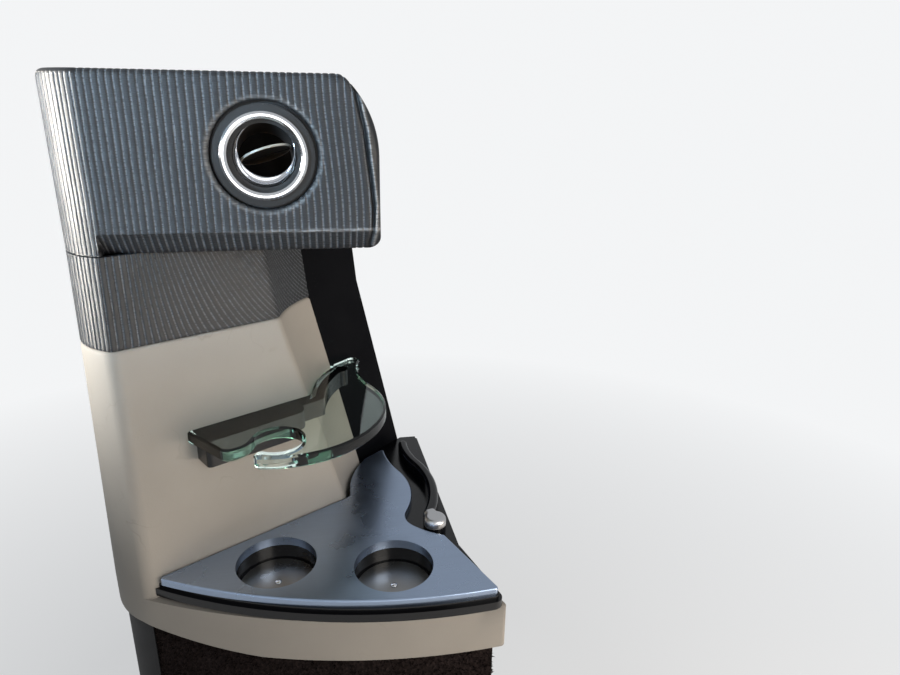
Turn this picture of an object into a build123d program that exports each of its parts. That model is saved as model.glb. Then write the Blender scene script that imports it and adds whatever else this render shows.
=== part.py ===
from build123d import *
import os
from math import cos, radians, sin

os.makedirs("parts", exist_ok=True)

# Corner drinks console from the cabin of a stretched saloon, in millimetres.
# The origin is on the floor, midway between the floor bolts. X runs to the right along
# the front of the vent box, Y runs back into the corner, and Z is up.
# Plan outlines are drawn from the tray's left tip, and heights are counted from the tray.

# Place of the tray's left tip, and height of the tray above the floor
tip_x = -130.0
tip_y = -60.0
tray_top = 420.0

# Layers from the tray plate down to the carpeted plinth
plate_thick = 7.0
base_thick = 15.0
fascia_tall = 45.0
plate_under = -plate_thick
base_under = plate_under - base_thick
fascia_under = base_under - fascia_tall

# Heights of the post and the vent box above the tray
joint_rise = 220.5
box_under = 297.0
crease_rise = 315.0
box_top = 433.0

# Walls, boards and clearances
panel = 8.0
band = 12.0
fascia_thick = 7.7
board = 12.0
seat_gap = 0.3
fit_gap = 0.5
plate_gap = 1.2

# Niche wall: its first face runs back from the post at this angle
wall_angle = 31.0
edge_round = 14.0
turn_round = 10.0

# Back panel of the niche: its direction, its width and how far behind the post's edge it stands
back_angle = 41.0
back_wide = 80.0
back_set = 12.0
back_thick = 8.0

# Cup wells
cup_radius = 37.5
cup_deep = 24.0
cup_centres = (("left", 103.3, 4.4), ("right", 212.2, -19.2))
collar_wall = 2.0
collar_deep = 9.0
well_radius = cup_radius + collar_wall + seat_gap
well_floor = 3.5
well_room = 1.5
disc_thick = 1.0
disc_radius = 36.0

# Air outlet
vent_x = 119.7
vent_above_middle = 7.7
vent_rise = (box_under + box_top) / 2 + vent_above_middle
vent_hole = 40.5
ball_radius = 26.0
ball_depth = 17.5
bore_radius = 21.0
ball_tilt = 20.0
ball_turn = -16.0
flap_turn = 32.6

# Glass shelf
glass_thick = 12.0
glass_under = 122.0
bracket_tall = 17.7


def deck(rise):
    return Plane(origin=(tip_x, tip_y, tray_top + rise))


def flank(x):
    return Plane(origin=(tip_x + x, tip_y, tray_top), x_dir=(0, 1, 0), z_dir=(1, 0, 0))


front = Plane(origin=(tip_x, tip_y, tray_top), x_dir=(1, 0, 0), z_dir=(0, -1, 0))


def at_angle(start, angle, length):
    return (start[0] + length * cos(radians(angle)), start[1] + length * sin(radians(angle)))


def mix(low, high, share):
    if isinstance(low, tuple):
        return tuple(mix(a, b, share) for a, b in zip(low, high))
    return low + (high - low) * share


# Sections of the post. rise: height above the tray. edge: its front edge beside the niche.
# mid, end: the rounding towards the left side. first: length of the first niche face. bearing,
# second: direction and length of the second face. hollow: how far that face is dished.
post_columns = ("rise", "edge", "mid", "end", "first", "bearing", "second", "hollow")
post_table = (
    (base_under, (-10.0, -4.0), (-35.0, 15.0), (-54.0, 52.0), 207.0, 75.6, 79.0, 6.5),
    (0.0, (-10.0, -4.0), (-34.0, 14.0), (-53.0, 50.0), 201.0, 75.0, 78.4, 6.5),
    (joint_rise, (-10.0, -2.5), (-30.0, 12.0), (-46.0, 45.0), 138.1, 68.4, 72.0, 5.0),
    (box_under, (-9.0, 0.0), (-28.5, 12.5), (-43.5, 43.0), 127.0, 66.5, 71.0, 4.0),
    (box_top, (-9.0, 0.0), (-29.0, 13.0), (-44.5, 44.0), 127.0, 66.5, 71.0, 4.0),
)
side_back = (-60.0, 112.0)


def post_row(rise):
    for low, high in zip(post_table, post_table[1:]):
        if rise <= high[0]:
            break
    share = (rise - low[0]) / (high[0] - low[0])
    return dict(zip(post_columns, (mix(a, b, share) for a, b in zip(low, high))))


def niche_points(rise):
    row = post_row(rise)
    turn = at_angle((0.0, 0.0), wall_angle, row["first"])
    far = at_angle(turn, row["bearing"], row["second"])
    middle = at_angle(mix(turn, far, 0.5), row["bearing"] + 90, row["hollow"])
    return turn, middle, far


def post_outline(rise, grow=0.0, rounded=True):
    row = post_row(rise)
    turn, middle, far = niche_points(rise)
    heel = at_angle(far, back_angle + 90, back_set + back_thick)
    with BuildSketch(deck(rise)) as section:
        with BuildLine():
            Line(side_back, row["end"])
            ThreePointArc(row["end"], row["mid"], row["edge"])
            Line(row["edge"], turn)
            ThreePointArc(turn, middle, far)
            Line(far, heel)
            Line(heel, side_back)
        make_face()
        if rounded:
            fillet(section.vertices().sort_by_distance((*row["edge"], 0))[0], edge_round)
        fillet(section.vertices().sort_by_distance((*turn, 0))[0], turn_round)
        if grow > 0:
            offset(amount=grow, kind=Kind.ARC, mode=Mode.REPLACE)
        if grow < 0:
            offset(amount=grow, kind=Kind.INTERSECTION, mode=Mode.REPLACE)
    return section


def post_section(rise, grow=0.0):
    return post_outline(rise, grow).sketch


# Post: grey below the joint, black above it, a hollow casing with a closed back
lower_levels = (base_under, 0.0, joint_rise)
with BuildPart() as wall_lower:
    loft([post_section(rise) for rise in lower_levels], ruled=True)
    loft([post_section(rise, -panel) for rise in lower_levels], ruled=True, mode=Mode.SUBTRACT)
wall_lower.part.label = "wall_lower"
export_step(wall_lower.part, "parts/wall_lower.step")

upper_levels = (joint_rise, box_under)
with BuildPart() as wall_upper:
    loft([post_section(rise) for rise in upper_levels], ruled=True)
    loft([post_section(rise, -panel) for rise in upper_levels], ruled=True, mode=Mode.SUBTRACT)
wall_upper.part.label = "wall_upper"
export_step(wall_upper.part, "parts/wall_upper.step")

# Footprint of the fascia and the plinth: front arc, right side, back corner and left side
front_right = (312.0, -68.5)
front_middle = (126.0, -53.5)
right_bend = (279.0, 14.0)
right_back = (270.0, 246.0)
corner_back = (110.0, 246.0)
front_round = 4.0

# Lower edge of the fascia: level and high on the left side, then falling to the full depth
edge_rise = -51.0
edge_bend = -22.0
edge_middle = (33.0, -60.5)
edge_foot = 88.0


def footprint(rise, grow=0.0):
    row = post_row(base_under)
    with BuildSketch(deck(rise)) as section:
        with BuildLine():
            ThreePointArc(row["edge"], front_middle, front_right)
            Line(front_right, right_bend)
            Line(right_bend, right_back)
            Line(right_back, corner_back)
            Line(corner_back, side_back)
            Line(side_back, row["end"])
            ThreePointArc(row["end"], row["mid"], row["edge"])
        make_face()
        fillet(section.vertices().sort_by_distance((*front_right, 0))[0], front_round)
        if grow > 0:
            offset(amount=grow, kind=Kind.ARC, mode=Mode.REPLACE)
        if grow < 0:
            offset(amount=grow, kind=Kind.INTERSECTION, mode=Mode.REPLACE)
    return section.sketch


def well_circles(rise, radius):
    with BuildSketch(deck(rise)) as circles:
        with Locations(*((x, y) for name, x, y in cup_centres)):
            Circle(radius)
    return circles.sketch


def under_fascia(drop=0.0):
    left = 2 * side_back[0]
    bend = (edge_bend, edge_rise - drop)
    foot = (edge_foot, fascia_under - drop)
    with BuildSketch(front) as area:
        with BuildLine():
            ThreePointArc(bend, (edge_middle[0], edge_middle[1] - drop), foot)
            Polyline(foot, (edge_foot, -tray_top), (left, -tray_top), (left, bend[1]), bend)
        make_face()
    return area.sketch


with BuildPart() as fascia:
    extrude(footprint(fascia_under), amount=fascia_tall)
    extrude(footprint(fascia_under, -fascia_thick), amount=fascia_tall, mode=Mode.SUBTRACT)
    extrude(well_circles(base_under, well_radius + well_room), amount=-board, mode=Mode.SUBTRACT)
    extrude(under_fascia(), amount=2 * right_back[1], both=True, mode=Mode.SUBTRACT)
fascia.part.label = "fascia"
export_step(fascia.part, "parts/fascia.step")

# Deck board inside the fascia, with a hole under each cup well
with BuildPart() as deck_board:
    extrude(footprint(base_under, -fascia_thick), amount=-board)
    extrude(well_circles(base_under, well_radius + well_room), amount=-board, mode=Mode.SUBTRACT)
deck_board.part.label = "deck_board"
export_step(deck_board.part, "parts/deck_board.step")

# Carpeted plinth, set back inside the fascia, with its floor board
plinth_back = -8.0
plinth_top = base_under - board
with BuildPart() as plinth:
    extrude(footprint(plinth_top, plinth_back), amount=-(tray_top + plinth_top))
    extrude(footprint(plinth_top, plinth_back - band), amount=-(tray_top + plinth_top), mode=Mode.SUBTRACT)
plinth.part.label = "plinth"
export_step(plinth.part, "parts/plinth.step")

floor_bolt_x = 180.0
floor_bolt_y = 100.0
floor_bolt_hole = 4.5
with BuildPart() as floor_board:
    extrude(footprint(-tray_top, plinth_back - band), amount=board)
    with Locations(Plane.XY.offset(board)):
        with GridLocations(floor_bolt_x, floor_bolt_y, 2, 2):
            Hole(floor_bolt_hole)
floor_board.part.label = "floor_board"
export_step(floor_board.part, "parts/floor_board.step")

# Moulded plastic trim round the plinth's corner on the left side
trim_thick = 3.0
trim_drop = 1.0
trim_reach = -14.0
trim_tall = tray_top + edge_rise
with BuildPart() as kick_trim:
    extrude(footprint(-tray_top, plinth_back + trim_thick), amount=trim_tall)
    extrude(footprint(-tray_top, plinth_back), amount=trim_tall, mode=Mode.SUBTRACT)
    with BuildSketch(deck(-tray_top)):
        with Locations((trim_reach + side_back[0], 0)):
            Rectangle(-2 * side_back[0], 2 * side_back[1])
    extrude(amount=trim_tall, mode=Mode.INTERSECT)
    extrude(under_fascia(trim_drop), amount=2 * right_back[1], both=True, mode=Mode.INTERSECT)
kick_trim.part.label = "kick_trim"
export_step(kick_trim.part, "parts/kick_trim.step")

# Tray plate: the front arc runs from the tip to the right corner, and the right side ends
# in a notch and a bulge that run back to the rear tip
plate_start = (-12.0, 4.3)
plate_middle = (126.0, -52.0)
plate_right = (303.0, -67.5)
plate_shoulder = (268.0, 19.0)
notch_end = (240.0, 40.0)
bulge = ((237.0, 152.0), (246.5, 112.0), (236.0, 68.0))
rear_tip = (224.5, 207.0)
in_wall = (-2.0, 16.0)
plate_edge = 2.0
plate_tip = 3.0
plate_corner = 3.0

wall_print = post_outline(base_under, plate_gap, rounded=False).sketch_local
with BuildPart() as tray_plate:
    turn, middle, far = niche_points(0.0)
    with BuildSketch(deck(0.0)) as plate_sketch:
        with BuildLine():
            ThreePointArc(plate_start, plate_middle, plate_right)
            Line(plate_right, plate_shoulder)
            side = ThreePointArc(*bulge)
            notch = TangentArc(side @ 1, notch_end, tangent=side % 1)
            TangentArc(notch @ 1, plate_shoulder, tangent=notch % 1)
            TangentArc(side @ 0, rear_tip, tangent=-(side % 0))
            Line(rear_tip, far)
            Line(far, in_wall)
            Line(in_wall, plate_start)
        make_face()
        add(wall_print, mode=Mode.SUBTRACT)
        fillet(plate_sketch.vertices().sort_by_distance((0, 0, 0))[0], plate_tip)
        fillet(plate_sketch.vertices().sort_by_distance((*rear_tip, 0))[0], plate_tip)
        fillet(plate_sketch.vertices().sort_by_distance((*plate_right, 0))[0], plate_corner)
    extrude(amount=-plate_thick)
    fillet(tray_plate.faces().sort_by(Axis.Z)[-1].outer_wire().edges(), plate_edge)
    extrude(well_circles(0.0, cup_radius + collar_wall), amount=-collar_deep)
    extrude(well_circles(0.0, cup_radius), amount=-collar_deep, mode=Mode.SUBTRACT)
tray_plate.part.label = "tray_plate"
export_step(tray_plate.part, "parts/tray_plate.step")

# Back panel of the niche, standing on the deck board behind the tray
back_levels = (base_under, 0.0, joint_rise, box_under)


def back_section(rise, grow=0.0):
    turn, middle, far = niche_points(rise)
    near = at_angle(far, back_angle + 90, back_set)
    end = at_angle(near, back_angle, back_wide)
    with BuildSketch(deck(rise)) as section:
        with BuildLine():
            Polyline(
                near,
                end,
                at_angle(end, back_angle + 90, back_thick),
                at_angle(near, back_angle + 90, back_thick),
                close=True,
            )
        make_face()
        if grow > 0:
            offset(amount=grow, mode=Mode.REPLACE)
    return section.sketch


with BuildPart() as back_panel:
    loft([back_section(rise) for rise in back_levels], ruled=True)
back_panel.part.label = "back_panel"
export_step(back_panel.part, "parts/back_panel.step")

# Moulded tray base under the plate, with a bead along its front and the two cup wells
base_tip = (-8.0, 4.0)
base_middle = (126.0, -53.5)
base_right = (304.5, -69.5)
base_back = (270.0, 244.5)
bead_proud = 3.0
bead_under = -19.0
bead_tall = 8.0
base_corner = 5.0


def base_outline(rise, grow=0.0):
    turn, middle, far = niche_points(base_under)
    near = at_angle(far, back_angle + 90, back_set)
    with BuildSketch(deck(rise)) as section:
        with BuildLine():
            ThreePointArc(base_tip, base_middle, base_right)
            Polyline(base_right, right_bend, base_back)
            Polyline(base_back, at_angle(near, back_angle, back_wide), near, in_wall, base_tip)
        make_face()
        fillet(section.vertices().sort_by_distance((*base_right, 0))[0], base_corner)
        if grow > 0:
            offset(amount=grow, mode=Mode.REPLACE)
    return section.sketch


with BuildPart() as tray_base:
    extrude(base_outline(base_under), amount=base_thick)
    extrude(base_outline(bead_under, bead_proud), amount=bead_tall)
    extrude(well_circles(plate_under, well_radius), amount=-(cup_deep + well_floor + plate_under))
    extrude(
        well_circles(plate_under, well_radius),
        amount=-(collar_deep + seat_gap + plate_under),
        mode=Mode.SUBTRACT,
    )
    extrude(well_circles(plate_under, cup_radius), amount=-(cup_deep + plate_under), mode=Mode.SUBTRACT)
    extrude(well_circles(-cup_deep, disc_radius + seat_gap), amount=-disc_thick, mode=Mode.SUBTRACT)
    extrude(post_section(base_under, fit_gap), amount=2 * base_thick, mode=Mode.SUBTRACT)
    extrude(back_section(base_under, fit_gap), amount=2 * base_thick, mode=Mode.SUBTRACT)
tray_base.part.label = "tray_base"
export_step(tray_base.part, "parts/tray_base.step")

# Polished disc in the bottom of each well
for name, x, y in cup_centres:
    with BuildPart() as cup_disc:
        with BuildSketch(deck(-cup_deep - disc_thick)):
            with Locations((x, y)):
                Circle(disc_radius)
        extrude(amount=disc_thick)
        chamfer(cup_disc.edges().group_by(Axis.Z)[-1], disc_thick / 3)
    cup_disc.part.label = "cup_disc_" + name
    export_step(cup_disc.part, "parts/cup_disc_" + name + ".step")

# Raised rail along the tray's right side: an S that ends in a round knob at the front
rail_bulge = ((258.5, 156.0), (269.0, 110.0), (257.0, 52.0))
rail_rear = (249.0, 205.0)
rail_wide = 11.0
rail_tall = 15.0
rail_round = 4.5
knob_centre = (262.0, 41.0)
knob_radius = 11.5
with BuildPart() as side_rail:
    with BuildSketch(deck(plate_under)) as rail_sketch:
        with BuildLine() as rail_path:
            bend = ThreePointArc(*rail_bulge)
            TangentArc(bend @ 0, rail_rear, tangent=-(bend % 0))
            offset(amount=rail_wide / 2, side=Side.BOTH, mode=Mode.REPLACE)
        make_face()
        with Locations(knob_centre):
            Circle(knob_radius)
        neck = rail_sketch.vertices().sort_by_distance(knob_centre)[0:2]
        fillet(neck, rail_round)
    extrude(amount=rail_tall)
    fillet(side_rail.faces().sort_by(Axis.Z)[-1].outer_wire().edges(), rail_round)
side_rail.part.label = "side_rail"
export_step(side_rail.part, "parts/side_rail.step")

# Shelf bracket: a deep rail on the first wall face, and a narrow one round the second
bracket_start = 48.0
bracket_end = 150.0
bracket_deep = 22.0
rail_deep = 9.0
hook_round = 7.5
shelf_under = glass_under - bracket_tall
with BuildPart() as shelf_bracket:
    turn, middle, far = niche_points(shelf_under)
    wall_plane = Plane(
        origin=deck(shelf_under).origin,
        x_dir=(cos(radians(wall_angle)), sin(radians(wall_angle)), 0),
        z_dir=(0, 0, 1),
    )
    with BuildSketch(wall_plane) as deep_rail:
        with Locations(((bracket_start + bracket_end) / 2, 0)):
            Rectangle(bracket_end - bracket_start, 2 * bracket_deep)
        fillet(deep_rail.vertices().group_by(Axis.Y)[0].sort_by(Axis.X)[-1], bracket_deep / 2)
        fillet(deep_rail.vertices().group_by(Axis.Y)[0].sort_by(Axis.X)[0], bracket_deep / 5)
    extrude(amount=bracket_tall)
    with BuildSketch(deck(shelf_under)):
        bearing = post_row(shelf_under)["bearing"]
        with BuildLine():
            start = at_angle((0.0, 0.0), wall_angle, bracket_end - bracket_deep)
            lead = at_angle(start, wall_angle - 90, rail_deep)
            round_in = at_angle(turn, wall_angle - 90, rail_deep)
            round_mid = at_angle(turn, (wall_angle + bearing) / 2 - 90, rail_deep)
            round_out = at_angle(turn, bearing - 90, rail_deep)
            dish = at_angle(middle, bearing - 90, rail_deep)
            last = at_angle(far, bearing - 90, rail_deep)
            Line(start, lead)
            Line(lead, round_in)
            ThreePointArc(round_in, round_mid, round_out)
            ThreePointArc(round_out, dish, last)
            Line(last, far)
            Line(far, start)
        make_face()
        with Locations(at_angle(far, bearing - 90, rail_deep / 2)):
            Circle(hook_round)
    extrude(amount=bracket_tall)
    extrude(post_section(shelf_under, seat_gap), amount=bracket_tall, mode=Mode.SUBTRACT)
shelf_bracket.part.label = "shelf_bracket"
export_step(shelf_bracket.part, "parts/shelf_bracket.step")

# Glass shelf: two fingers round a stemware slot that opens to the front left
slot_arc = ((92.3, 0.0), (136.0, -4.0), (104.0, -23.6))
finger_out = (100.0, -35.2)
rim_end = (203.5, 103.0)
neck_end = (196.0, 172.0)
tail_end = (180.0, 178.0)
lobe_front = (70.0, -18.5)
lobe_round = 10.0
behind_wall = ((150.0, 150.0), (120.0, 84.0), (33.0, 24.0))
glass_edge = 1.8
with BuildPart() as glass_shelf:
    with BuildSketch(deck(glass_under)) as shelf_sketch:
        with BuildLine():
            slot = ThreePointArc(*slot_arc)
            finger = TangentArc(slot @ 1, finger_out, tangent=slot % 1)
            rim = TangentArc(finger @ 1, rim_end, tangent=finger % 1)
            neck = TangentArc(rim @ 1, neck_end, tangent=rim % 1)
            TangentArc(neck @ 1, tail_end, tangent=neck % 1)
            Polyline(tail_end, *behind_wall, lobe_front)
            TangentArc(slot @ 0, lobe_front, tangent=-(slot % 0))
        make_face()
        fillet(shelf_sketch.vertices().sort_by_distance((*lobe_front, 0))[0], lobe_round)
    extrude(amount=glass_thick)
    chamfer(glass_shelf.faces().sort_by(Axis.Z)[-1].outer_wire().edges(), glass_edge)
    chamfer(glass_shelf.faces().sort_by(Axis.Z)[0].outer_wire().edges(), glass_edge)
    extrude(post_section(glass_under, fit_gap), amount=glass_thick, mode=Mode.SUBTRACT)
glass_shelf.part.label = "glass_shelf"
export_step(glass_shelf.part, "parts/glass_shelf.step")

# Vent box on the post and the back panel: its front is rounded at the right, bevelled
# underneath over the niche, and bored for the air outlet. Its back is open for the duct
box_right = 208.0
box_back = 212.0
box_corner = 60.0
shoulder_rise = 372.0
shoulder_left = 180.0
shoulder_round = 12.0
box_low_round = 10.0
bevel_start = -8.0
bevel_deep = 15.0
box_floor = 12.0
box_round = 6.0
box_corner_round = 20.0
opening_left = -20.0
opening_right = 196.0
cavity_tall = box_top - box_under - box_floor - panel


def box_plan(rise, grow=0.0):
    row = post_row(box_top)
    with BuildSketch(deck(rise)) as section:
        with BuildLine():
            Polyline(row["edge"], (box_right, 0.0), (box_right, box_back), (box_corner, box_back))
            Polyline((box_corner, box_back), side_back, row["end"])
            ThreePointArc(row["end"], row["mid"], row["edge"])
        make_face()
        if grow < 0:
            offset(amount=grow, kind=Kind.INTERSECTION, mode=Mode.REPLACE)
    return section.sketch


def box_elevation(inset=0.0):
    with BuildSketch(front) as section:
        with BuildLine():
            side = Line((box_right, box_under), (box_right, shoulder_rise))
            bend = TangentArc(side @ 1, (shoulder_left, box_top), tangent=side % 1)
            Polyline(bend @ 1, (side_back[0], box_top), (side_back[0], box_under), side @ 0)
        make_face()
        fillet(section.vertices().sort_by_distance((box_right, box_under, 0))[0], box_low_round)
        fillet(section.vertices().sort_by_distance((shoulder_left, box_top, 0))[0], shoulder_round)
        if inset > 0:
            offset(amount=-inset, mode=Mode.REPLACE)
    return section.sketch


with BuildPart() as box_room:
    extrude(box_plan(box_under + box_floor, -panel), amount=cavity_tall)
    with BuildSketch(deck(box_under + box_floor)):
        with Locations(((opening_left + opening_right) / 2, box_back)):
            Rectangle(opening_right - opening_left, box_back)
    extrude(amount=cavity_tall)
    extrude(box_elevation(panel), amount=-2 * box_back, mode=Mode.INTERSECT)

with BuildPart() as head_box:
    extrude(box_elevation(), amount=-box_back)
    extrude(box_plan(box_under), amount=box_top - box_under, mode=Mode.INTERSECT)
    corner = (tip_x + post_row(box_top)["edge"][0], tip_y, tray_top + shoulder_rise)
    fillet(head_box.edges().filter_by(Axis.Z).sort_by_distance(corner)[0], box_corner_round)
    front_edges = head_box.faces().sort_by(Axis.Y)[0].edges()
    top_edges = head_box.faces().sort_by(Axis.Z)[-1].edges()
    right_end = front_edges.filter_by(lambda edge: edge.center().X > tip_x + vent_x)
    top_front = top_edges.filter_by(lambda edge: edge.center().Y < tip_y + side_back[1])
    top_left = top_front.filter_by(lambda edge: edge.center().X < tip_x + vent_x)
    fillet(right_end + top_left, box_round)
    with BuildSketch(flank(bevel_start)):
        with BuildLine():
            Polyline((0, box_under), (bevel_deep, box_under), (0, crease_rise), close=True)
        make_face()
    extrude(amount=box_right - bevel_start, mode=Mode.SUBTRACT)
    add(box_room.part, mode=Mode.SUBTRACT)
    with BuildSketch(front):
        with Locations((vent_x, vent_rise)):
            Circle(vent_hole)
    extrude(amount=-2 * panel, mode=Mode.SUBTRACT)
head_box.part.label = "head_box"
export_step(head_box.part, "parts/head_box.step")

# Steel angle under the box's top, with the two holes that bolt it to the car's wall
rail_gap = 2.0
rail_left = box_corner + rail_gap
rail_right = shoulder_left - panel - rail_gap
angle_tall = 16.0
angle_deep = 22.0
angle_thick = 3.0
back_bolt_x = 80.0
back_bolt_hole = 3.5
back_bolt_drop = 9.5
angle_top = box_top - panel
angle_mid = (rail_left + rail_right) / 2
with BuildPart() as fixing_rail:
    with BuildSketch(flank(rail_left)):
        with BuildLine():
            Polyline(
                (box_back, angle_top),
                (box_back, angle_top - angle_tall),
                (box_back - angle_thick, angle_top - angle_tall),
                (box_back - angle_thick, angle_top - angle_thick),
                (box_back - angle_deep, angle_top - angle_thick),
                (box_back - angle_deep, angle_top),
                close=True,
            )
        make_face()
    extrude(amount=rail_right - rail_left)
    with BuildSketch(front):
        with Locations((angle_mid, angle_top - back_bolt_drop)):
            with GridLocations(back_bolt_x, 0, 2, 1):
                Circle(back_bolt_hole)
    extrude(amount=-(box_back + panel), mode=Mode.SUBTRACT)
fixing_rail.part.label = "fixing_rail"
export_step(fixing_rail.part, "parts/fixing_rail.step")

# Air outlet, turned about an axis that runs straight back through the box's front.
# Its outlines are pairs of radius and depth behind the front face
outlet = Plane(origin=front.from_local_coords((vent_x, vent_rise, 0)), x_dir=(1, 0, 0), z_dir=(0, 0, 1))
outlet_axis = Axis(origin=outlet.origin, direction=(0, 1, 0))
socket_bore = 30.3
socket_face = 1.0
socket_front = 38.3
socket_tube = 33.3
clamp_radius = 46.0
clamp_thick = 2.5
step_depth = 28.3
step_floor = 2.7
step_radius = 27.4
spigot_start = step_depth + step_floor
spigot_end = 62.0
spigot_radius = 27.0
spigot_wall = 1.6
with BuildPart() as vent_socket:
    with BuildSketch(outlet):
        with BuildLine():
            Polyline(
                (socket_bore, socket_face),
                (socket_front, socket_face),
                (socket_front, panel),
                (clamp_radius, panel),
                (clamp_radius, panel + clamp_thick),
                (socket_tube, panel + clamp_thick),
                (socket_tube, spigot_start),
                (spigot_radius, spigot_start),
                (spigot_radius, spigot_end),
                (spigot_radius - spigot_wall, spigot_end),
                (spigot_radius - spigot_wall, step_depth),
                (socket_bore, step_depth),
                close=True,
            )
        make_face()
    revolve(axis=outlet_axis)
vent_socket.part.label = "vent_socket"
export_step(vent_socket.part, "parts/vent_socket.step")

# Bright ring in the mouth of the socket
ring_front = -4.0
ring_radius = 32.8
ring_bore = 27.5
ring_sleeve = 30.2
ring_depth = 6.7
ring_bevel = 1.8
with BuildPart() as vent_ring:
    with BuildSketch(outlet) as ring_sketch:
        with BuildLine():
            Polyline(
                (ring_bore, ring_front),
                (ring_radius, ring_front),
                (ring_radius, socket_face),
                (ring_sleeve, socket_face),
                (ring_sleeve, ring_depth),
                (ring_bore, ring_depth),
                close=True,
            )
        make_face()
        chamfer(ring_sketch.vertices().group_by(Axis.Y)[0], ring_bevel)
    revolve(axis=outlet_axis)
vent_ring.part.label = "vent_ring"
export_step(vent_ring.part, "parts/vent_ring.step")

# The ball's frame: it points up and a little to the right, about two trunnion pins
aim = (
    -sin(radians(ball_turn)) * sin(radians(ball_tilt)),
    -cos(radians(ball_tilt)),
    cos(radians(ball_turn)) * sin(radians(ball_tilt)),
)
trunnion = (cos(radians(ball_turn)), 0, sin(radians(ball_turn)))
ball = Plane(origin=outlet.from_local_coords((0, ball_depth, 0)), x_dir=trunnion, z_dir=aim)
trunnion_line = Plane(origin=ball.origin, z_dir=trunnion)
spindle = ball.x_dir * cos(radians(flap_turn)) + ball.y_dir * sin(radians(flap_turn))
flap = Plane(origin=ball.origin, x_dir=spindle, z_dir=aim)
flap_line = Plane(origin=flap.origin, x_dir=flap.z_dir, z_dir=flap.x_dir)
flap_disc = Plane(origin=flap.origin, x_dir=flap.x_dir, z_dir=flap.y_dir)
pin_radius = 1.5
pin_reach = 29.4
pin_gap = 0.05

# Turning ring that carries the ball
carrier_radius = 30.0
carrier_half = 10.4
with BuildPart() as vent_swivel:
    with Locations(Plane(origin=ball.origin, z_dir=(0, -1, 0))):
        Cylinder(carrier_radius, 2 * carrier_half)
        Sphere(ball_radius + seat_gap, mode=Mode.SUBTRACT)
    with Locations(trunnion_line):
        Cylinder(pin_radius + pin_gap, 4 * carrier_radius, mode=Mode.SUBTRACT)
vent_swivel.part.label = "vent_swivel"
export_step(vent_swivel.part, "parts/vent_swivel.step")

# Ball with its bore, its two pins and the blind holes for the flap
rim_half = 14.3
flap_pin_radius = 1.2
flap_pin_reach = 23.9
flap_hole_reach = 24.2
with BuildPart() as vent_barrel:
    with Locations(ball):
        Sphere(ball_radius)
        Cylinder(ball_radius, 2 * rim_half, mode=Mode.INTERSECT)
    with Locations(trunnion_line):
        Cylinder(pin_radius, 2 * pin_reach)
    with Locations(ball):
        Cylinder(bore_radius, 2 * ball_radius, mode=Mode.SUBTRACT)
    with Locations(flap_line):
        Cylinder(flap_pin_radius + pin_gap, 2 * flap_hole_reach, mode=Mode.SUBTRACT)
vent_barrel.part.label = "vent_barrel"
export_step(vent_barrel.part, "parts/vent_barrel.step")

# Round flap on a spindle across the bore, shown fully open
flap_radius = 20.6
flap_thick = 1.6
with BuildPart() as vent_flap:
    with Locations(flap_disc):
        Cylinder(flap_radius, flap_thick)
    with Locations(flap_line):
        Cylinder(flap_pin_radius, 2 * flap_pin_reach)
vent_flap.part.label = "vent_flap"
export_step(vent_flap.part, "parts/vent_flap.step")
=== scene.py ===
# Corner drinks console of a limousine cabin: its looks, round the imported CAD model.
# Metres everywhere, except where a name or note says millimetres.
import math

import bmesh
import bpy
import numpy as np
from mathutils import Matrix, Vector
from mathutils.bvhtree import BVHTree


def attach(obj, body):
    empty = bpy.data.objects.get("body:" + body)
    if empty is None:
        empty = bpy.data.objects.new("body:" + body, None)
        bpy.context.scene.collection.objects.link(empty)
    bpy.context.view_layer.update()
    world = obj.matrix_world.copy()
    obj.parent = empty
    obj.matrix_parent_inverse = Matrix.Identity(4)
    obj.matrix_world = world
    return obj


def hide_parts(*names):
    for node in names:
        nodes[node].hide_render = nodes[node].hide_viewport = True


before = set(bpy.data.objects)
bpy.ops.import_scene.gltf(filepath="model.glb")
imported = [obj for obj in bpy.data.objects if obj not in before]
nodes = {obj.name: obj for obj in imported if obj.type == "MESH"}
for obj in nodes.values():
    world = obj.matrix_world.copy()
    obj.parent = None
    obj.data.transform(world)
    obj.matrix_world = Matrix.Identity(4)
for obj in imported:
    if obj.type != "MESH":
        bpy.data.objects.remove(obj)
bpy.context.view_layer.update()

scene = bpy.context.scene
scene.view_settings.view_transform = "Standard"
trayTip = np.array((-0.130, -0.060, 0.420))  # the tray's left tip, where the plan's numbers start


def place(right, back, rise):  # millimetres from the tray's tip
    return trayTip + np.array((right, back, rise)) * 0.001


# Helpers for nodes


def addNode(tree, kind, inputs=None, **settings):
    made = tree.nodes.new(kind)
    for name, value in settings.items():
        setattr(made, name, value)
    for key, value in (inputs or {}).items():
        if isinstance(value, bpy.types.NodeSocket):
            tree.links.new(value, made.inputs[key])
        else:
            made.inputs[key].default_value = value
    return made


def calc(tree, operation, *values):
    return addNode(tree, "ShaderNodeMath", dict(enumerate(values)), operation=operation).outputs[0]


def times(tree, product, *factors):
    for factor in factors:
        product = calc(tree, "MULTIPLY", product, factor)
    return product


def calcVector(tree, operation, inputs, output=0):
    return addNode(tree, "ShaderNodeVectorMath", inputs, operation=operation).outputs[output]


def sawTooth(tree, turn):  # 1 at each whole number, 0 halfway between two
    doubled = times(tree, calc(tree, "FRACT", turn), 2.0)
    return calc(tree, "ABSOLUTE", calc(tree, "SUBTRACT", doubled, 1.0))


def noise(tree, vector, scale, detail, more=None, **settings):
    inputs = {"Vector": vector, "Scale": scale, "Detail": detail, **(more or {})}
    return addNode(tree, "ShaderNodeTexNoise", inputs, **settings).outputs["Fac"]


def feed(tree, sockets, **values):
    for label, value in values.items():
        tree.links.new(value, sockets[label.replace("_", " ")])


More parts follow.
